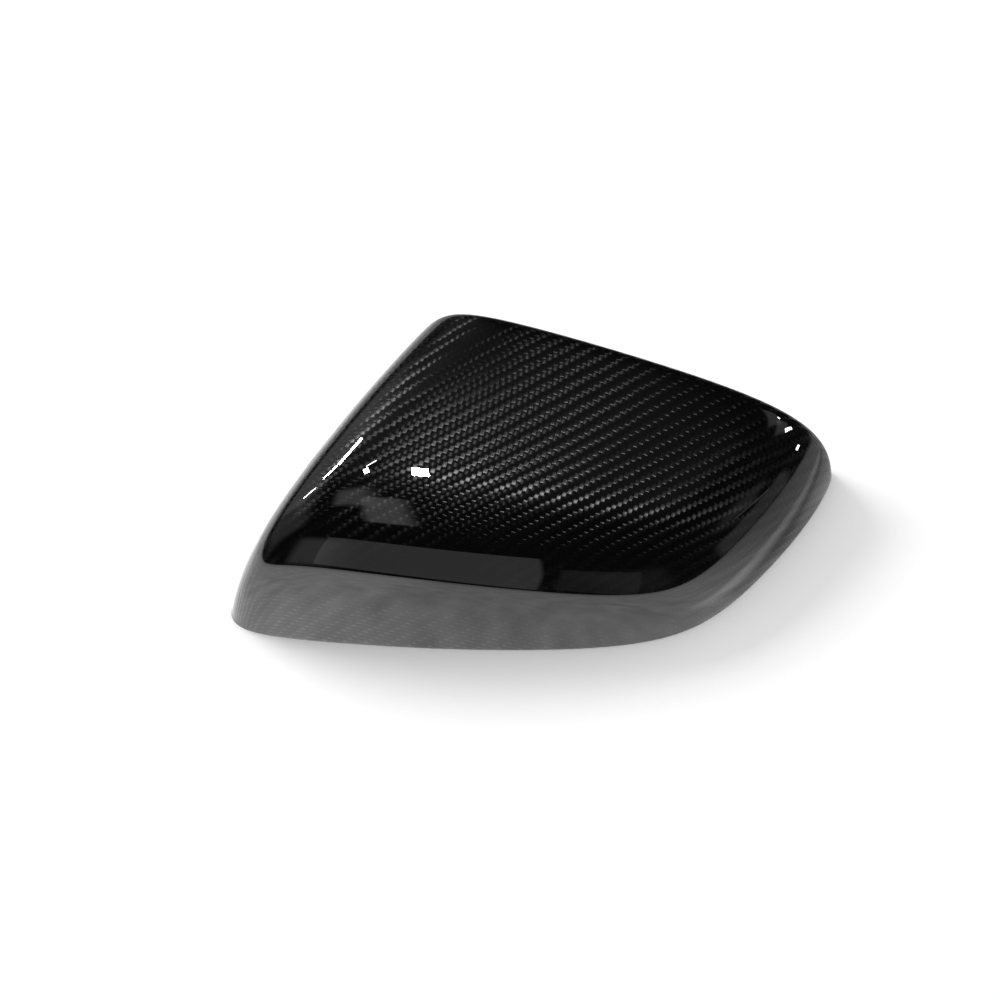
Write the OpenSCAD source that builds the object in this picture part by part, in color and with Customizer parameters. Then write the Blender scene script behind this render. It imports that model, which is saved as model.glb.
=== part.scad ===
// Wing mirror cover: one moulded shell of carbon-fibre laminate, open underneath.
// It lies rim down: the rim is the plane z = 0, +X is to the right end and +Y is to the far side.
// The outside is a smooth blend of five bowed walls and a crown. The inside keeps one wall thickness.
// Each wall is set by the way it faces, its distance from the middle of the rim, its lean and its bow.

/* [Laminate] */
// Thickness of the moulded wall
shell_t = 2; // [1.4:0.1:3]
// Rounding of the trimmed rim
edge_r = 0.6; // [0.3:0.1:0.7]

/* [Near wall] */
// Way the long near wall faces, in degrees round from +X
near_facing = -91; // [-100:0.5:-80]
// Distance of the near wall from the middle
near_dist = 68.5; // [60:0.5:80]
// Lean of the near wall from upright
near_lean = 2; // [0:0.5:12]
// Bow radius of the near wall along its length
near_bow = 1000; // [500:10:2000]
// Bow radius of the near wall up its height
near_rise_bow = 1200; // [150:10:2000]

/* [Right wall] */
// Way the slanted right wall faces
right_facing = -39.5; // [-55:0.5:-30]
// Distance of the right wall from the middle
right_dist = 96.5; // [85:0.5:110]
// Lean of the right wall
right_lean = 0.5; // [-3:0.5:10]
// Bow radius of the right wall along its length
right_bow = 1200; // [300:10:2000]
// Bow radius of the right wall up its height
right_rise_bow = 3000; // [300:50:4000]

/* [End wall] */
// Way the short end wall faces
end_facing = 15; // [0:0.5:25]
// Distance of the end wall from the middle
end_dist = 146; // [130:0.5:160]
// Lean of the end wall
end_lean = 1; // [0:0.5:10]
// Bow radius of the end wall along its length
end_bow = 1000; // [200:50:3000]

/* [Left wall] */
// Way the slanted left wall faces
left_facing = 148.5; // [140:0.5:165]
// Distance of the left wall from the middle
left_dist = 80.5; // [72:0.5:92]
// Lean of the left wall
left_lean = 16; // [5:0.5:20]
// Bow radius of the left wall along its length
left_bow = 1100; // [400:10:2000]
// Bow radius of the left wall up its height
left_rise_bow = 320; // [120:10:800]

/* [Far wall] */
// Way the far wall faces
far_facing = 73.5; // [65:0.5:80]
// Distance of the far wall from the middle
far_dist = 60.5; // [52:0.5:70]
// Lean of the far wall
far_lean = 11; // [4:0.5:20]
// Bow radius of the far wall up its height
far_rise_bow = 1600; // [400:50:4000]

/* [Crown] */
// Height of the crown over the middle of the rim
crown_h = 58; // [45:0.5:75]
// Rise of the crown toward the right, in mm per mm
crown_tilt_x = 0.12; // [0:0.01:0.3]
// Rise of the crown toward the far side, negative to fall, in mm per mm
crown_tilt_y = -0.15; // [-0.3:0.01:0.1]
// Reach of the crown's long half axis
crown_long = 236; // [180:1:300]
// Reach of the crown's short half axis
crown_short = 119; // [100:1:180]
// Fullness of the crown: 2 is a plain ellipsoid, higher is flatter with fuller shoulders
crown_full = 2.6; // [2:0.05:3]
// Turn of the crown's long axis from +X
crown_turn = 26; // [0:1:40]

/* [Blends] */
// Sharpness of the corners between the near, right and end walls
corner_p = 8.3; // [5:0.1:14]
// Sharpness of the shoulder between those walls and the crown
shoulder_p = 4.7; // [3:0.1:8]
// Sharpness of the edges of the left wall
left_p = 9.5; // [6:0.5:20]
// Sharpness of the far edge
far_p = 30; // [16:1:40]

/* [Hidden] */
carbon = [0.05, 0.05, 0.055];
around = 112;
rings = 23;
samples = 60;
top_el = 88;
step = 0.01;
// How far the azimuths follow the turn of the outline, and the search for each of them
turn_share = 0.55;
search = 60;
halvings = 14;
// Millimetres of travel that one degree of turn counts as when the rings are spaced
turn_weight = 1.2;

// Unit vector with an azimuth and an elevation.
function unit(az, el) = [cos(el) * cos(az), cos(el) * sin(az), sin(el)];

// Share of the way from the middle out to a bowed wall that p has reached, 1 on the wall itself.
function reach(p, facing, lean, dist, bow, rise_bow) =
    let (
        n = unit(facing, lean),
        along = [-sin(facing), cos(facing), 0],
        rise = cross(n, along),
        q = p * n,
        s = p * along,
        u = p * rise
    )
    (q + sqrt(q * q + 2 * dist * (s * s / bow + u * u / rise_bow))) / (2 * dist);

// The same share for the crown, a full ellipsoid turned and tilted over the rim.
function crown_reach(p) =
    let (
        up = max(0, p[2] + crown_tilt_x * p[0] + crown_tilt_y * p[1]) / crown_h,
        e1 = abs(cos(crown_turn) * p[0] + sin(crown_turn) * p[1]) / crown_long,
        e2 = abs(cos(crown_turn) * p[1] - sin(crown_turn) * p[0]) / crown_short
    )
    pow(pow(up, crown_full) + pow(e1, crown_full) + pow(e2, crown_full), 1 / crown_full);

// Smooth larger of two shares: the higher the sharpness, the tighter the edge between them.
function blend(a, b, sharp) = pow(pow(a, sharp) + pow(b, sharp), 1 / sharp);

// Share of the way out to the finished outside, in direction or at point p.
function share(p) =
    let (
        flat = 1e6,
        near = reach(p, near_facing, near_lean, near_dist, near_bow, near_rise_bow),
        right = reach(p, right_facing, right_lean, right_dist, right_bow, right_rise_bow),
        end = reach(p, end_facing, end_lean, end_dist, end_bow, flat),
        left = reach(p, left_facing, left_lean, left_dist, left_bow, left_rise_bow),
        far = reach(p, far_facing, far_lean, far_dist, flat, far_rise_bow),
        sides = blend(blend(near, right, corner_p), end, corner_p),
        domed = blend(sides, crown_reach(p), shoulder_p)
    )
    blend(blend(domed, left, left_p), far, far_p);

// Point of the outside in direction d, and the outward unit normal at a point of it.
function outer(d) = d / share(d);
function normal(p) =
    let (
        g = [for (a = [[step, 0, 0], [0, step, 0], [0, 0, step]]) share(p + a) - share(p - a)]
    )
    g / norm(g);

// Directions round the rim, closer together where the outline turns.
function turned(az) =
    let (n = normal(outer(unit(az, 0))), t = atan2(n[1], n[0]) - az)
    az + turn_share * (t - 360 * round(t / 360));
function solve(goal, low, high, left) =
    let (mid = (low + high) / 2)
    left == 0 ? mid : turned(mid) > goal ? solve(goal, low, mid, left - 1) : solve(goal, mid, high, left - 1);
azimuths = [for (i = [0:around - 1]) let (goal = -180 + 360 * i / around) solve(goal, goal - search, goal + search, halvings)];

// Elevations of the rings over one azimuth, closer together where the section turns.
function foot(az) = outer(unit(az, 0));
function travel(ps, ns, i, sum) =
    i == len(ps) ? [] : let (
        run = i == 0 ? 0 : norm(ps[i] - ps[i - 1]) + turn_weight * acos(min(1, ns[i] * ns[i - 1]))
    )
    concat([sum + run], travel(ps, ns, i + 1, sum + run));
function elevations(az) =
    let (
        low = atan(edge_r / norm(foot(az))),
        els = [for (i = [0:samples]) low + (top_el - low) * i / samples],
        ps = [for (el = els) outer(unit(az, el))],
        ns = [for (p = ps) normal(p)],
        way = travel(ps, ns, 0, 0),
        table = [for (i = [0:samples]) [way[i], els[i]]]
    )
    [for (k = [0:rings - 1]) lookup(way[samples] * k / (rings - 1), table)];
ring_els = [for (az = azimuths) elevations(az)];

// The bare outside and inside points, before the part is centred.
function outer_ring(k) = [for (j = [0:around - 1]) outer(unit(azimuths[j], ring_els[j][k]))];
function inner_ring(k) = [for (p = outer_ring(k)) p - shell_t * normal(p)];
function rim_ring(inset, z) = [
    for (az = azimuths)
    let (
        p = foot(az),
        n = normal(p),
        flat_n = [n[0], n[1], 0],
        inward = flat_n / (flat_n * flat_n)
    )
    p - inset * inward + [0, 0, z]
];

// The rim's section: a rounded outer edge, the flat that it stands on and a rounded inner edge.
round_in = edge_r * (1 - cos(45));
rim_section = [
    [round_in, round_in],
    [edge_r, 0],
    [shell_t - edge_r, 0],
    [shell_t - round_in, round_in],
    [shell_t, edge_r]
];

loops = concat(
    [for (k = [rings - 1:-1:0]) outer_ring(k)],
    [for (s = rim_section) rim_ring(s[0], s[1])],
    [for (k = [1:rings - 1]) inner_ring(k)]
);
bare = [for (loop = loops, p = loop) p];
top = outer([0, 0, 1]);
mid_x = (min([for (p = bare) p[0]]) + max([for (p = bare) p[0]])) / 2;
mid_y = (min([for (p = bare) p[1]]) + max([for (p = bare) p[1]])) / 2;
last = len(loops) - 1;
first_pole = len(bare);

// Faces of the skin between neighbouring loops, and the two fans that close it at the crown.
skin = concat(
    [for (j = [0:around - 1]) [first_pole, (j + 1) % around, j]],
    [
        for (i = [0:last - 1], j = [0:around - 1], half = [0, 1])
        let (a = i * around + j, b = i * around + (j + 1) % around)
        half == 0 ? [a, b, b + around] : [a, b + around, a + around]
    ],
    [for (j = [0:around - 1]) [last * around + j, last * around + (j + 1) % around, first_pole + 1]]
);

// The moulded shell, with the middle of its footprint at the origin.
module cover_shell() {
    color(carbon)
        translate([-mid_x, -mid_y, 0])
            polyhedron(points = concat(bare, [top, top - shell_t * normal(top)]), faces = skin, convexity = 4);
}

cover_shell();
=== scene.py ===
import math
import bpy
import numpy as np
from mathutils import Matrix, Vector


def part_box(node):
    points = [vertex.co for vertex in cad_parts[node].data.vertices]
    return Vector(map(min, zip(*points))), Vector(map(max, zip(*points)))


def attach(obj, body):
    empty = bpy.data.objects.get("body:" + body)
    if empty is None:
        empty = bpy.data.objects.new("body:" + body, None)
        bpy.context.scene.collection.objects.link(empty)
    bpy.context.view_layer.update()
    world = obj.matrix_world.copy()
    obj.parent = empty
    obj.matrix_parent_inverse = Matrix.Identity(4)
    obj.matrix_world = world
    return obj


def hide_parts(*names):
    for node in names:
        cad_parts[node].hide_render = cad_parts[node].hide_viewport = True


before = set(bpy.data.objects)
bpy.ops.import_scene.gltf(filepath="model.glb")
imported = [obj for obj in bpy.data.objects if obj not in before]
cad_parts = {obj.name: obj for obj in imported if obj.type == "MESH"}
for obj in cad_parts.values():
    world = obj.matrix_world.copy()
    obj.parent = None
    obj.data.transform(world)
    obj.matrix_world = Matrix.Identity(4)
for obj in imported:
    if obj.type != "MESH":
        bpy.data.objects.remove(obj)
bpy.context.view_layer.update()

MM = 0.001
RAD = math.pi / 180

# The outside of the shell: the same bowed walls and crown as in the CAD source, in millimetres and degrees.
SHELL_T = 2.0
EDGE_R = 0.6
WALLS = {
    # name: (facing, lean, distance, bow along, bow up)
    "near": (-91, 2, 68.5, 1000, 1200),
    "right": (-39.5, 0.5, 96.5, 1200, 3000),
    "end": (15, 1, 146, 1000, 1e6),
    "left": (148.5, 16, 80.5, 1100, 320),
    "far": (73.5, 11, 60.5, 1e6, 1600),
}
CROWN_H, CROWN_TILT_X, CROWN_TILT_Y = 58, 0.12, -0.15
CROWN_LONG, CROWN_SHORT, CROWN_FULL, CROWN_TURN = 236, 119, 2.6, 26
CORNER_P, SHOULDER_P, LEFT_P, FAR_P = 8.3, 4.7, 9.5, 30

# The cloth: width of a tow and thickness of a ply, in millimetres
TOW = 2.0
PLY_T = 0.28
# Waviness of the tows: its noise's scale over the weave, and how far it moves them, in tows
WAVES, WAVE = 0.22, 0.5
# Streaks in a tow, counted over its width: bundles of fibres, and fibres that each lie a little differently
BUNDLES, FIBRES = 14.0, 43.0
# Slopes: along a crosswise and an upright float, across a tow, of single fibres, and more toward the right end
SLOPE_U, SLOPE_V, SLOPE_ACROSS, SLOPE_FIBRE, SLOPE_RIGHT = 0.085, 0.36, 0.16, 0.9, 0.11
# The smooth part of the left shoulder, where the tows lie flatter and are painted darker: its middle in metres
SMOOTH_SPOT = (-0.029, 0.027, 0.0)

# The net: meridians, rings, and fine steps along a meridian before the rings are placed
AROUND, RINGS, FINE = 336, 92, 420
# How far the meridians follow the turn of the outline, and the millimetres that a degree of turn counts as
TURN_SHARE, TURN_WEIGHT = 0.55, 1.2
# Share of a meridian that the fan at the crown takes
CROWN_FAN = 0.012


def reach(p, facing, lean, dist, bow, rise_bow):
    """Share of the way from the middle out to a bowed wall: 1 on it."""
    f, e = facing * RAD, lean * RAD
    n = np.array([math.cos(e) * math.cos(f), math.cos(e) * math.sin(f), math.sin(e)])
    along = np.array([-math.sin(f), math.cos(f), 0])
    rise = np.cross(n, along)
    q = p @ n
    sag = (p @ along) ** 2 / bow + (p @ rise) ** 2 / rise_bow
    return (q + np.sqrt(q * q + 2 * dist * sag)) / (2 * dist)


def blend(a, b, sharp):
    """Smooth larger of two shares."""
    return (a**sharp + b**sharp) ** (1 / sharp)


def share(p):
    """Share of the way from the middle out to the finished outside: 1 on it."""
    c, s = math.cos(CROWN_TURN * RAD), math.sin(CROWN_TURN * RAD)
    up = np.maximum(0, p[..., 2] + CROWN_TILT_X * p[..., 0] + CROWN_TILT_Y * p[..., 1]) / CROWN_H
    e1 = abs(c * p[..., 0] + s * p[..., 1]) / CROWN_LONG
    e2 = abs(c * p[..., 1] - s * p[..., 0]) / CROWN_SHORT
    crown = (up**CROWN_FULL + e1**CROWN_FULL + e2**CROWN_FULL) ** (1 / CROWN_FULL)
    w = {name: reach(p, *sizes) for name, sizes in WALLS.items()}
    sides = blend(blend(w["near"], w["right"], CORNER_P), w["end"], CORNER_P)
    return blend(blend(blend(sides, crown, SHOULDER_P), w["left"], LEFT_P), w["far"], FAR_P)


def normal(p, step=0.002):
    """Outward unit normal at a point of the outside."""
    g = np.stack([share(p + step * a) - share(p - step * a) for a in np.eye(3)], -1)
    return g / np.linalg.norm(g, axis=-1, keepdims=True)


def ray(az, el):
    """Point of the outside in a direction from the middle."""
    a, e = az * RAD, el * RAD
    d = np.stack([np.cos(e) * np.cos(a), np.cos(e) * np.sin(a), np.sin(e)], -1)
    return d / share(d)[..., None]


def drape(w):
    """Weave coordinates in tows, from the skin laid flat in millimetres, bent to the rows in the photograph."""
    x, y = w[..., 0], w[..., 1]
    a, b = 80 * np.tanh(x / 80), 50 * np.tanh(y / 50)
    s = 1.095 * x - 0.363 * y + (0.061 * a * a - 0.147 * a * b + 0.134 * b * b) / 100 + 0.24 * b**3 / 1e4
    t = 0.208 * x + 0.822 * y + (-0.046 * a * a + 0.033 * a * b - 0.219 * b * b) / 100 + 1.0 * b**3 / 1e4
    return np.stack([s, t], -1) / TOW


def shell_arrays():
    """Rings of points from the crown down the outside, round the rim and up the inside.

    Each has weave coordinates, a kind (0 outside, 1 rim, 2 inside) and its points' depth in the wall.
    """
    # meridians closer together where the outline turns
    az = np.linspace(-240, 240, 3841)
    n = normal(ray(az, az * 0))
    turn = np.degrees(np.arctan2(n[:, 1], n[:, 0])) - az
    turned = az + TURN_SHARE * (turn - 360 * np.round(turn / 360))
    az = np.interp(-180 + 360 * np.arange(AROUND) / AROUND, turned, az)
    foot = ray(az, az * 0)
    foot_n = normal(foot)
    low = np.degrees(np.arctan(EDGE_R / np.linalg.norm(foot, axis=1)))
    # fine meridians from the crown down, and the skin laid flat along each
    f = np.linspace(0, 1, FINE)
    el = 90 + (low[:, None] - 90) * f
    p = ray(az[:, None] + el * 0, el)
    n = normal(p)
    mid_n = n[:, 1:] + n[:, :-1]
    mid_n /= np.linalg.norm(mid_n, axis=-1, keepdims=True)
    step = np.diff(p, axis=1)
    level = np.linalg.norm(mid_n[..., :2], axis=-1, keepdims=True)
    out = mid_n[..., :2] / np.maximum(level, 1e-9)
    side = np.stack([-out[..., 1], out[..., 0]], -1)
    fall = np.concatenate([out * mid_n[..., 2:], -level], -1)
    flat = (step[..., :2] * side).sum(-1, keepdims=True) * side + (step * fall).sum(-1, keepdims=True) * out
    start = np.repeat(p[:1, :1, :2], AROUND, 0)
    flat = np.concatenate([start, start + flat.cumsum(1)], 1)
    # rings closer together where the section turns
    run = np.linalg.norm(step, axis=-1)
    bend = np.degrees(np.arccos(np.clip((n[:, 1:] * n[:, :-1]).sum(-1), -1, 1)))
    way = np.concatenate([np.zeros((AROUND, 1)), (run + TURN_WEIGHT * bend).cumsum(1)], 1)
    k = CROWN_FAN + (1 - CROWN_FAN) * np.arange(RINGS) / (RINGS - 1)
    els = np.stack([np.interp(k * way[i, -1], way[i], el[i]) for i in range(AROUND)])
    laid = [[np.interp(-els[i], -el[i], flat[i, :, c]) for c in (0, 1)] for i in range(AROUND)]
    laid = np.stack(laid).transpose(0, 2, 1)
    skin = ray(az[:, None] + els * 0, els)
    skin_n = normal(skin)
    # the outside, the rim from its outer rounding to its inner one, and the inside
    loops, weave, kind = [], [], []
    for r in range(RINGS):
        loops.append(skin[:, r])
        weave.append(drape(laid[:, r]))
        kind.append(0)
    inward = foot_n * [1, 1, 0]
    inward /= (inward**2).sum(1, keepdims=True)
    quarter = [a * RAD for a in (0, 22.5, 45, 67.5, 90)]
    rounding = [(EDGE_R * (1 - math.cos(a)), EDGE_R * (1 - math.sin(a))) for a in quarter]
    section = rounding[1:] + [(SHELL_T - inset, z) for inset, z in reversed(rounding)]
    for inset, z in section:
        loops.append(foot - inset * inward + [0, 0, z])
    weave += [drape(laid[:, -1])] * len(section)
    kind += [1] * len(section)
    for r in range(RINGS - 2, -1, -1):
        loops.append(skin[:, r] - SHELL_T * skin_n[:, r])
        weave.append(drape(laid[:, r]))
        kind.append(2)
    # the depth in the wall is for the plies that show on the cut edge
    depth = []
    for loop, which in zip(loops, kind):
        if which == 1:
            depth.append(np.clip(np.linalg.norm((loop - foot)[:, :2], axis=1), 0, SHELL_T))
        else:
            depth.append(np.full(AROUND, which * SHELL_T / 2))
    return loops, weave, kind, depth


def centred(points):
    """Points in metres with the footprint's middle at the origin, trimmed to the CAD's box, and that middle.

    The finer net reaches a few hundredths of a millimetre past the CAD's facets without the trim.
    """
    lo, hi = points.min(0), points.max(0)
    middle = np.array([(lo[0] + hi[0]) / 2, (lo[1] + hi[1]) / 2, 0])
    cad_lo, cad_hi = (np.array(list(v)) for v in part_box("cover_shell"))
    trim = np.minimum(1, (cad_hi - cad_lo) / ((hi - lo) * MM))
    return (points - middle) * MM * trim, middle


def build_shell(materials):
    """The shell's object, and the middle of its footprint before it was centred."""
    loops, weave, kind, depth = shell_arrays()
    top = ray(np.array(0.0), np.array(90.0))
    top_n = normal(top)
    points = np.concatenate(loops + [top[None], (top - SHELL_T * top_n)[None]])
    uv = np.concatenate(weave + [drape(top[None, :2])] * 2)
    deep = np.concatenate(depth + [np.array([0.0, SHELL_T])])
    count = len(loops)
    j = np.arange(AROUND)
    j2 = (j + 1) % AROUND
    quads, quad_kind = [], []
    for i in range(count - 1):
        a, b = i * AROUND, (i + 1) * AROUND
        quads.append(np.stack([a + j, b + j, b + j2, a + j2], 1))
        quad_kind += [kind[i] if kind[i] == kind[i + 1] else 1] * AROUND
    first, last = count * AROUND, count * AROUND + 1
    faces = np.concatenate(quads).tolist()
    faces += [[first, int(x), int(y)] for x, y in zip(j, j2)]
    quad_kind += [0] * AROUND
    a = (count - 1) * AROUND
    faces += [[last, a + int(y), a + int(x)] for x, y in zip(j, j2)]
    quad_kind += [2] * AROUND
    mesh = bpy.data.meshes.new("cover_shell_look")
    points, middle = centred(points)
    mesh.from_pydata(points.tolist(), [], faces)
    mesh.update()
    index = np.empty(len(mesh.loops), dtype=np.int32)
    mesh.loops.foreach_get("vertex_index", index)
    # one map in tow counts, the same turned for the lie of the second family, and the depth in the wall
    maps = {
        "Weave": uv,
        "Weave turned": np.stack([uv[:, 1], -uv[:, 0]], 1),
        "Depth": np.stack([deep, deep], 1),
    }
    for name, coords in maps.items():
        layer = mesh.uv_layers.new(name=name)
        layer.data.foreach_set("uv", coords[index].astype(np.float32).ravel())
    for m in materials:
        mesh.materials.append(m)
    mesh.polygons.foreach_set("material_index", np.array(quad_kind, dtype=np.int32))
    mesh.polygons.foreach_set("use_smooth", np.ones(len(faces), dtype=bool))
    obj = bpy.data.objects.new("cover_shell_look", mesh)
    bpy.context.scene.collection.objects.link(obj)
    return obj, middle


# Node helpers

class Nodes:
    """Short calls for the nodes of one material or world."""

    def __init__(self, owner, output="ShaderNodeOutputMaterial"):
        self.owner = owner
        owner.use_nodes = True
        self.tree = owner.node_tree
        self.tree.nodes.clear()
        self.out = self.add(output)

    def add(self, kind, **values):
        n = self.tree.nodes.new(kind)
        for k, v in values.items():
            setattr(n, k, v)
        return n

    def link(self, a, b):
        self.tree.links.new(a, b)

    def put(self, socket, value):
        """A value or another node's output into a socket."""
        if isinstance(value, bpy.types.NodeSocket):
            self.link(value, socket)
        else:
            socket.default_value = value

    def math(self, op, *values):
        n = self.add("ShaderNodeMath", operation=op)
        for i, v in enumerate(values):
            self.put(n.inputs[i], v)
        return n.outputs[0]

    def times(self, first, *factors):
        """Product of two or more values."""
        for factor in factors:
            first = self.math("MULTIPLY", first, factor)
        return first

    def axes(self, vector):
        """The three numbers of a vector."""
        n = self.add("ShaderNodeSeparateXYZ")
        self.link(vector, n.inputs[0])
        return n.outputs[0], n.outputs[1], n.outputs[2]

    def around_half(self, value, spread):
        """A value in 0..1 moved to the middle of 0 and scaled."""
        return self.math("MULTIPLY", self.math("SUBTRACT", value, 0.5), spread)

    def mix(self, factor, a, b):
        n = self.add("ShaderNodeMix", data_type="FLOAT")
        self.put(n.inputs[0], factor)
        self.put(n.inputs[2], a)
        self.put(n.inputs[3], b)
        return n.outputs[0]

    def mix_vector(self, factor, a, b):
        n = self.add("ShaderNodeMix", data_type="VECTOR")
        self.put(n.inputs[0], factor)
        self.put(n.inputs[4], a)
        self.put(n.inputs[5], b)
        return n.outputs[1]

    def vector(self, op, *values):
        n = self.add("ShaderNodeVectorMath", operation=op)
        for i, v in enumerate(values):
            self.put(n.inputs[i], v)
        return n.outputs[0]

    def scaled(self, vector, factor):
        n = self.add("ShaderNodeVectorMath", operation="SCALE")
        self.put(n.inputs[0], vector)
        self.put(n.inputs["Scale"], factor)
        return n.outputs[0]

    def tangent(self, uv_map):
        return self.add("ShaderNodeTangent", direction_type="UV_MAP", uv_map=uv_map).outputs[0]

    def linear(self, value, x0, x1, y0, y1):
        return self.ramp(value, x0, x1, y0, y1, "LINEAR")

    def ramp(self, value, x0, x1, y0, y1, kind="SMOOTHSTEP"):
        n = self.add("ShaderNodeMapRange", interpolation_type=kind)
        self.put(n.inputs["Value"], value)
        for name, number in (("From Min", x0), ("From Max", x1), ("To Min", y0), ("To Max", y1)):
            n.inputs[name].default_value = number
        return n.outputs["Result"]

    def length(self, vector):
        n = self.add("ShaderNodeVectorMath", operation="LENGTH")
        self.put(n.inputs[0], vector)
        return n.outputs["Value"]

    def noise(self, vector, scale, detail=2.0, rough=0.5):
        n = self.add("ShaderNodeTexNoise")
        self.put(n.inputs["Vector"], vector)
        n.inputs["Scale"].default_value = scale
        n.inputs["Detail"].default_value = detail
        n.inputs["Roughness"].default_value = rough
        return n.outputs["Fac"]

    def combine(self, x, y, z):
        n = self.add("ShaderNodeCombineXYZ")
        for i, v in enumerate((x, y, z)):
            self.put(n.inputs[i], v)
        return n.outputs[0]

    def by_ray(self, plain, mirrored):
        """One shader for what reflections show, and another for everything else."""
        n = self.add("ShaderNodeMixShader")
        self.link(self.add("ShaderNodeLightPath").outputs["Is Glossy Ray"], n.inputs[0])
        self.link(plain.outputs[0], n.inputs[1])
        self.link(mirrored.outputs[0], n.inputs[2])
        self.link(n.outputs[0], self.out.inputs[0])


def twill(k):
    """The 2x2 twill: which family of tows is on top, and where a point lies in its float, along and across."""
    uv = k.add("ShaderNodeUVMap", uv_map="Weave").outputs[0]
    p, q, _ = k.axes(uv)
    # a little waviness of the tows
    wob = k.around_half(k.noise(uv, WAVES, 1.0), WAVE)
    p = k.math("ADD", p, wob)
    q = k.math("SUBTRACT", q, wob)
    i, j = k.math("FLOOR", p), k.math("FLOOR", q)
    fu, fv = k.math("FRACT", p), k.math("FRACT", q)
    # each tow goes over two and under two, one further on in each row
    repeat = 4.0
    m = k.math("MULTIPLY", k.math("SUBTRACT", j, i), 1 / repeat)
    step = k.math("MULTIPLY", k.math("FRACT", m), repeat)
    is_v = k.math("LESS_THAN", step, 1.5)
    pos_v = k.math("MULTIPLY", k.math("ADD", step, fv), 0.5)
    pos_u = k.math("MULTIPLY", k.math("ADD", k.math("SUBTRACT", 3.0, step), fu), 0.5)
    along = k.mix(is_v, pos_u, pos_v)
    across = k.mix(is_v, fv, fu)
    return dict(p=p, q=q, i=i, j=j, is_v=is_v, along=along, across=across)


# What differs between the lacquered outside and the matt inside. The coat's IOR is above a lacquer's 1.5, so
# that the reflections are as clear as in the photograph.
OUTSIDE = dict(metallic=1.0, roughness=0.25, coat=1.0, coat_roughness=0.0, coat_ior=1.85)
INSIDE = dict(metallic=0.5, roughness=0.42, coat=0.35, coat_roughness=0.3, coat_ior=1.5)
# Brightness of the inside's crosswise and upright tows
INSIDE_LEVELS = 0.070, 0.120


def outside_painted_sheen(k, w, px, smooth, face):
    """How bright the tows are over the outside: painted sheen and shade by place, not the cloth's own colour.
    The ramps only follow what the photograph shows.
    """
    x, y, _ = px
    # painted sheen: the crosswise family is painted bright toward the left wall, and the upright one over the
    # rest, where lamps lit the fibres
    left = k.math("ADD", k.math("MULTIPLY", x, -0.79), k.math("MULTIPLY", y, 0.61))
    level_u = k.ramp(left, 0.0420, 0.0465, 0.0022, 0.017)
    level_v = k.times(
        k.ramp(x, -0.072, -0.035, 0.004, 0.014),
        k.ramp(y, -0.025, 0.050, 1.0, 0.35),
        k.ramp(k.math("ADD", x, y), -0.094, -0.072, 0.25, 1.0),
    )
    # painted shade: the cloth is painted dimmer over the smooth part of the left shoulder, toward the right end
    # and down the walls
    steep = k.math("ABSOLUTE", k.axes(face)[2])
    return k.times(
        k.mix(w["is_v"], level_u, level_v),
        k.math("SUBTRACT", 1.0, k.math("MULTIPLY", smooth, 0.6)),
        k.ramp(x, 0.076, 0.094, 1.0, 0.2),
        k.ramp(steep, 0.35, 0.75, 0.3, 1.0),
    )


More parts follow.
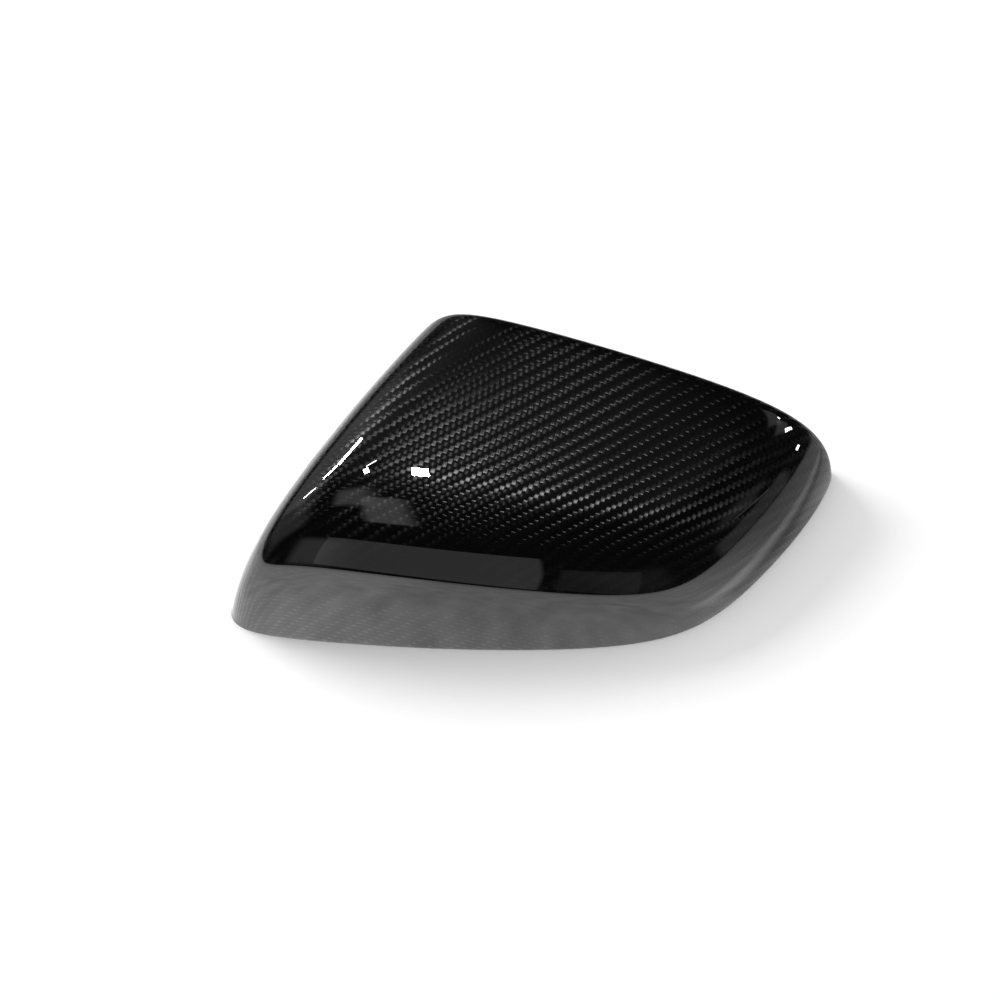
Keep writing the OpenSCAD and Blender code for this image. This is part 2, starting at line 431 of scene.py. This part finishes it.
def carbon(name, finish):
    """Twill carbon under resin, with the lacquer of the outside or the matt finish of the inside."""
    k = Nodes(bpy.data.materials.new(name))
    w = twill(k)
    is_v = w["is_v"]
    # -1..1 across and along the float
    c2 = k.math("SUBTRACT", k.math("MULTIPLY", w["across"], 2.0), 1.0)
    a2 = k.math("SUBTRACT", k.math("MULTIPLY", w["along"], 2.0), 1.0)
    a3 = k.times(a2, a2, a2)
    face = k.add("ShaderNodeNewGeometry").outputs["Normal"]
    # the tows lie flatter over the smooth part of the left shoulder, and lean more toward the right; that part
    # is also painted darker
    place = k.add("ShaderNodeTexCoord").outputs["Object"]
    px = k.axes(place)
    off = k.vector("MULTIPLY", k.vector("SUBTRACT", place, SMOOTH_SPOT), (1.1, 0.75, 0.0))
    smooth = k.ramp(k.length(off), 0.010, 0.036, 0.85, 0.0)
    loose = k.math("SUBTRACT", 1.0, smooth)
    lean_right = k.linear(px[0], -0.025, 0.065, 0.0, SLOPE_RIGHT)
    tilt_v = k.math("ADD", k.times(a3, SLOPE_V, loose), lean_right)
    tilt_along = k.mix(is_v, k.math("MULTIPLY", a2, SLOPE_U), tilt_v)
    # fibres: fine streaks along the tow, and how each lies across it
    fib = k.mix(is_v, w["q"], w["p"])
    run = k.mix(is_v, w["p"], w["q"])
    coarse = k.combine(k.math("MULTIPLY", fib, BUNDLES), k.math("MULTIPLY", run, 1.2), 0.0)
    fine = k.combine(k.math("MULTIPLY", fib, FIBRES), run, 0.0)
    streak = k.noise(coarse, 1.0, 2.0, 0.6)
    lay = k.noise(fine, 1.0, 1.0, 0.6)
    tilt_across = k.math("ADD", k.math("MULTIPLY", c2, SLOPE_ACROSS), k.around_half(lay, SLOPE_FIBRE))
    fibre = k.mix_vector(is_v, k.tangent("Weave"), k.tangent("Weave turned"))
    side = k.vector("CROSS_PRODUCT", face, fibre)
    lean = k.vector("ADD", k.scaled(fibre, tilt_along), k.scaled(side, tilt_across))
    tow_normal = k.vector("NORMALIZE", k.vector("ADD", face, lean))
    # gaps between tows are filled with resin and look black
    edge = k.math("SUBTRACT", 1.0, k.math("POWER", k.math("ABSOLUTE", c2), 5.0))
    end = k.math("SUBTRACT", 1.0, k.math("POWER", k.math("ABSOLUTE", a2), 7.0))
    # each tow differs a little
    shade = k.add("ShaderNodeTexWhiteNoise", noise_dimensions="1D")
    k.link(k.mix(is_v, w["j"], w["i"]), shade.inputs["W"])
    level = k.math("ADD", 0.82, k.math("MULTIPLY", shade.outputs["Value"], 0.36))
    level = k.times(level, k.math("ADD", 0.8, k.math("MULTIPLY", streak, 0.4)))
    # on the outside the tows get painted sheen and shade by place, on top of their own tone
    if finish is OUTSIDE:
        level = k.times(level, outside_painted_sheen(k, w, px, smooth, face))
    else:
        level = k.times(level, k.mix(is_v, *INSIDE_LEVELS))
    base = k.math("ADD", k.times(edge, end, level), 0.001)
    b = k.add("ShaderNodeBsdfPrincipled")
    k.link(k.combine(base, base, k.math("MULTIPLY", base, 1.02)), b.inputs["Base Color"])
    b.inputs["Metallic"].default_value = finish["metallic"]
    k.put(b.inputs["Roughness"], k.math("ADD", finish["roughness"], k.math("MULTIPLY", streak, 0.06)))
    b.inputs["Anisotropic"].default_value = 1.0
    k.link(fibre, b.inputs["Tangent"])
    b.inputs["Anisotropic Rotation"].default_value = 0.25
    k.link(tow_normal, b.inputs["Normal"])
    b.inputs["Coat Weight"].default_value = finish["coat"]
    b.inputs["Coat Roughness"].default_value = finish["coat_roughness"]
    b.inputs["Coat IOR"].default_value = finish["coat_ior"]
    k.link(b.outputs[0], k.out.inputs[0])
    return k.owner


def rim_edge():
    """The cut edge of the laminate: plies of cloth between thin lines of resin, lacquered over."""
    k = Nodes(bpy.data.materials.new("carbon_trimmed_edge"))
    pos = k.add("ShaderNodeTexCoord").outputs["Object"]
    grain = k.noise(pos, 900.0, 3.0)
    deep = k.axes(k.add("ShaderNodeUVMap", uv_map="Depth").outputs[0])[0]
    wavy = k.math("ADD", deep, k.math("MULTIPLY", k.noise(pos, 260.0, 1.0), 0.12))
    ply = k.math("PINGPONG", wavy, PLY_T / 2)
    line = k.ramp(ply, 0.02, 0.05, 1.0, 0.0)
    bundle = k.ramp(k.noise(pos, 420.0, 0.0), 0.45, 0.55, 0.6, 1.0)
    base = k.math("MULTIPLY", k.math("ADD", 0.018, k.math("MULTIPLY", grain, 0.035)), bundle)
    base = k.mix(line, base, 0.006)
    b = k.add("ShaderNodeBsdfPrincipled")
    k.link(k.combine(base, base, base), b.inputs["Base Color"])
    k.put(b.inputs["Roughness"], k.math("ADD", 0.38, k.math("MULTIPLY", grain, 0.2)))
    b.inputs["Coat Weight"].default_value = 0.6
    b.inputs["Coat Roughness"].default_value = 0.08
    k.link(b.outputs[0], k.out.inputs[0])
    return k.owner


skins = [carbon("carbon_lacquered", OUTSIDE), rim_edge(), carbon("carbon_inside", INSIDE)]
shell, middle = build_shell(skins)
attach(shell, "root")
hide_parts("cover_shell")


# Stage

def white_floor(name, colour):
    """Plain pale floor. In reflections it glows by itself and has no shadow, and it is dimmer far away; that
    glow carries painted light and painted shadow.
    """
    k = Nodes(bpy.data.materials.new(name))
    place = k.add("ShaderNodeTexCoord").outputs["Object"]
    grain = k.noise(place, 3.0, 2.0)
    v = k.math("ADD", colour - 0.004, k.math("MULTIPLY", grain, 0.008))
    plain = k.add("ShaderNodeBsdfPrincipled")
    k.link(k.combine(v, v, v), plain.inputs["Base Color"])
    plain.inputs["Roughness"].default_value = 0.9
    plain.inputs["Specular IOR Level"].default_value = 0.0
    x, y, _ = k.axes(place)
    far_out = k.length(place)
    away = k.ramp(far_out, 0.15, 1.6, 1.0, 0.6)
    # painted light in reflections: brighter at the left, with a slight unevenness
    cloud = k.noise(k.vector("MULTIPLY", place, (1.0, 0.35, 1.0)), 70.0, 2.0)
    uneven = k.math("ADD", 0.6, k.math("MULTIPLY", cloud, 0.8))
    painted_light_left = k.times(k.ramp(x, -0.10, -0.04, 1.30, 0.97), uneven)
    # painted shadow in reflections: dimmer to the right, by the way round from +X
    turn = k.math("ARCTAN2", y, x)
    right_side = k.times(k.ramp(turn, -0.75, -0.10, 0.0, 1.0), k.ramp(turn, 1.2, 2.4, 1.0, 0.35))
    painted_shade_right = k.math("SUBTRACT", 1.0, k.math("MULTIPLY", right_side, 0.62))
    # and painted shade past the far side
    beyond = k.ramp(y, 0.08, 0.22, 1.0, 0.5)
    # a painted light streak and a painted shadow streak in reflections beyond the right end, nearly parallel to
    # the right wall
    skew = k.math("ADD", k.math("MULTIPLY", x, -0.72), k.math("MULTIPLY", y, 0.695))
    light = k.ramp(k.math("ABSOLUTE", k.math("ADD", skew, 0.1035)), 0.0, 0.009, 0.9, 0.0)
    dark = k.ramp(k.math("ABSOLUTE", k.math("ADD", skew, 0.0935)), 0.0, 0.006, 0.4, 0.0)
    streak = k.times(
        k.math("SUBTRACT", light, dark),
        k.ramp(x, 0.062, 0.105, 0.0, 1.0),
        k.ramp(far_out, 0.155, 0.19, 1.0, 0.0),
    )
    strength = k.times(away, painted_light_left, painted_shade_right, beyond, k.math("ADD", 1.0, streak))
    glow = k.add("ShaderNodeEmission")
    k.link(strength, glow.inputs["Strength"])
    k.by_ray(plain, glow)
    return k.owner


def disc(name, radius, z, material, sides=96):
    mesh = bpy.data.meshes.new(name)
    turns = [2 * math.pi * i / sides for i in range(sides)]
    ring = [(radius * math.cos(t), radius * math.sin(t), z) for t in turns]
    mesh.from_pydata([(0, 0, z)] + ring, [], [(0, 1 + i, 1 + (i + 1) % sides) for i in range(sides)])
    mesh.materials.append(material)
    obj = bpy.data.objects.new(name, mesh)
    bpy.context.scene.collection.objects.link(obj)
    return obj


floor = disc("floor", 4.0, 0.0, white_floor("floor_white", 0.97))

# What the lacquer shows above the floor: a dark room with a few dim pale things in it. Each patch has an
# azimuth and an elevation, half its width, half its height and its softness, all in degrees, its level and
# its roll.
ROOM_DARK = 0.02
PATCHES = [
    # pale wall on the near side, a dark post to the right of it, and its dimmer part beyond the post
    (-91, 24.5, 13.9, 22, 0.4, 0.30, -7.5),
    (-112, 23, 9, 20, 6, 0.27, 0),
    (-66.9, 14.5, 8.4, 14, 0.4, 0.07, -17),
    (-57, 14.5, 12, 12, 6, 0.06, 0),
    # pale panel overhead, with a smaller one beside it
    (-72, 82, 2.8, 11, 1.2, 0.50, -18),
    (139, 84.7, 5.0, 6, 2.5, 0.42, -49),
    # pale left side of the room
    (133, 33, 17, 20, 5, 0.36, 0),
    (106, 38, 12, 18, 6, 0.08, 0),
    (172, 38, 24, 26, 10, 0.20, 0),
    # light ceiling beyond
    (80, 57, 18, 9, 9, 0.015, 0),
    (60, 67, 30, 9, 9, 0.055, 0),
    # pale strip at the right end with a thin bright edge, and two dim panes by the right lamps
    (-8, 24, 4, 5, 2.5, 0.13, 45),
    (-7.2, 16.8, 0.35, 5, 0.3, 0.40, 45),
    (-9, 7, 10, 6.5, 2, 0.20, 0),
    (28, 35, 6, 4, 1.2, 0.30, 0),
    (20, 30, 4, 4, 1.2, 0.30, 0),
]


def direction(az, el):
    a, e = az * RAD, el * RAD
    return Vector((math.cos(e) * math.cos(a), math.cos(e) * math.sin(a), math.sin(e)))


def studio(daylight):
    """A pale world that lights the scene, with the dark room and its patches in reflections instead."""
    world = bpy.data.worlds.new("studio")
    bpy.context.scene.world = world
    k = Nodes(world, "ShaderNodeOutputWorld")
    way = k.add("ShaderNodeTexCoord").outputs["Generated"]

    def dot(v):
        n = k.add("ShaderNodeVectorMath", operation="DOT_PRODUCT")
        k.link(way, n.inputs[0])
        n.inputs[1].default_value = v
        return n.outputs["Value"]

    def inside(value, half, soft):
        return k.ramp(k.math("ABSOLUTE", value), max(half - soft, 0), half + soft, 1, 0)

    def background(strength):
        n = k.add("ShaderNodeBackground")
        k.put(n.inputs["Strength"], strength)
        return n

    total = ROOM_DARK
    for az, el, half_w, half_h, soft, level, roll in PATCHES:
        d = direction(az, el)
        w = direction(az + 90, 0)
        h = d.cross(w)
        c, s = math.cos(roll * RAD), math.sin(roll * RAD)
        w, h = w * c + h * s, h * c - w * s
        # kept above 0, so that a patch has no second copy on the opposite side
        front = k.math("MAXIMUM", dot(d), 1e-3)
        across = k.math("DIVIDE", dot(w), front)
        rise = k.math("DIVIDE", dot(h), front)
        a = inside(across, math.tan(half_w * RAD), math.tan(soft * RAD))
        b = inside(rise, math.tan(half_h * RAD), math.tan(soft * RAD))
        total = k.math("ADD", total, k.times(a, b, level))
    k.by_ray(background(daylight), background(total))


studio(0.92)


def aim(obj, target):
    d = target - obj.location
    obj.rotation_euler = d.to_track_quat("-Z", "Y").to_euler()


# All lamps look at a point inside the cover. The small ones stand far off, so that they count by direction.
LAMP_TARGET = Vector((0, 0, 0.03))
LAMP_FAR = 20.0


def lamp(name, az, el, dist, size_x, size_y, radiance, roll=0.0):
    data = bpy.data.lights.new(name, "AREA")
    data.shape = "RECTANGLE"
    data.size, data.size_y = size_x, size_y
    data.energy = radiance * math.pi * size_x * size_y
    obj = bpy.data.objects.new(name, data)
    bpy.context.scene.collection.objects.link(obj)
    obj.location = LAMP_TARGET + dist * direction(az, el)
    aim(obj, LAMP_TARGET)
    obj.rotation_euler.rotate_axis("Z", roll * RAD)
    return obj


# Broad soft light for the floor and the shadow, kept out of the lacquer's reflections
lamp("soft_top", 148, 34, 2.0, 1.25, 0.55, 12.5, -18).visible_glossy = False
lamp("soft_fill", -60, 80, 2.4, 2.4, 2.4, 0.36).visible_glossy = False
# Small lamps that only the lacquer and the fibres show: azimuth, elevation, width and height in degrees,
# radiance and roll
for name, az, el, wide, high, level, roll in [
    ("key", 68.8, 71.8, 1.3, 2.3, 2100, 25),
    ("comma", 95, 71.8, 1.2, 2.4, 110, 20),
    ("comma_tail", 93.2, 69.2, 2.4, 0.3, 40, 26),
    ("streak_up", 116, 52.4, 6.5, 2.2, 330, 21),
    ("streak_down", 127.0, 51.8, 6.4, 1.3, 330, -26),
    ("glint", 143.4, 46.8, 1.0, 10.0, 60, 32),
    ("right_top", 28, 31, 2.0, 1.4, 25, 0),
    ("right_mid", 18, 25, 2.4, 6.0, 20, 27),
    ("right_low", 9.5, 11, 2.0, 2.2, 25, 0),
]:
    size_x, size_y = LAMP_FAR * math.tan(wide * RAD), LAMP_FAR * math.tan(high * RAD)
    lamp(name, az, el, LAMP_FAR, size_x, size_y, level, roll).visible_diffuse = False

# Camera: its elevation, its distance in metres, and pixels of the picture per millimetre at that distance
EL, DIST, PX = 49.84, 1.0, 2.47
SENSOR = 36
# The point it looks past, measured from the middle of the walls, and how far it stands to the right and up
LOOK = Vector((0, 0, 0.02))
ASIDE, UPWARD = 0.00139, 0.00242
back = direction(-90, EL)
right = Vector((1, 0, 0))
up = back.cross(right)
cam_data = bpy.data.cameras.new("camera")
cam = bpy.data.objects.new("camera", cam_data)
bpy.context.scene.collection.objects.link(cam)
cam.location = back * DIST + LOOK + right * ASIDE + up * UPWARD - Vector(middle.tolist()) * MM
cam.rotation_euler = ((90 - EL) * RAD, 0, 0)
cam_data.sensor_width = SENSOR
cam_data.lens = PX * SENSOR
cam_data.shift_x, cam_data.shift_y = -0.030, -0.020
cam_data.clip_start, cam_data.clip_end = 0.05, 50
bpy.context.scene.camera = cam
bpy.context.scene.view_settings.view_transform = "Standard"
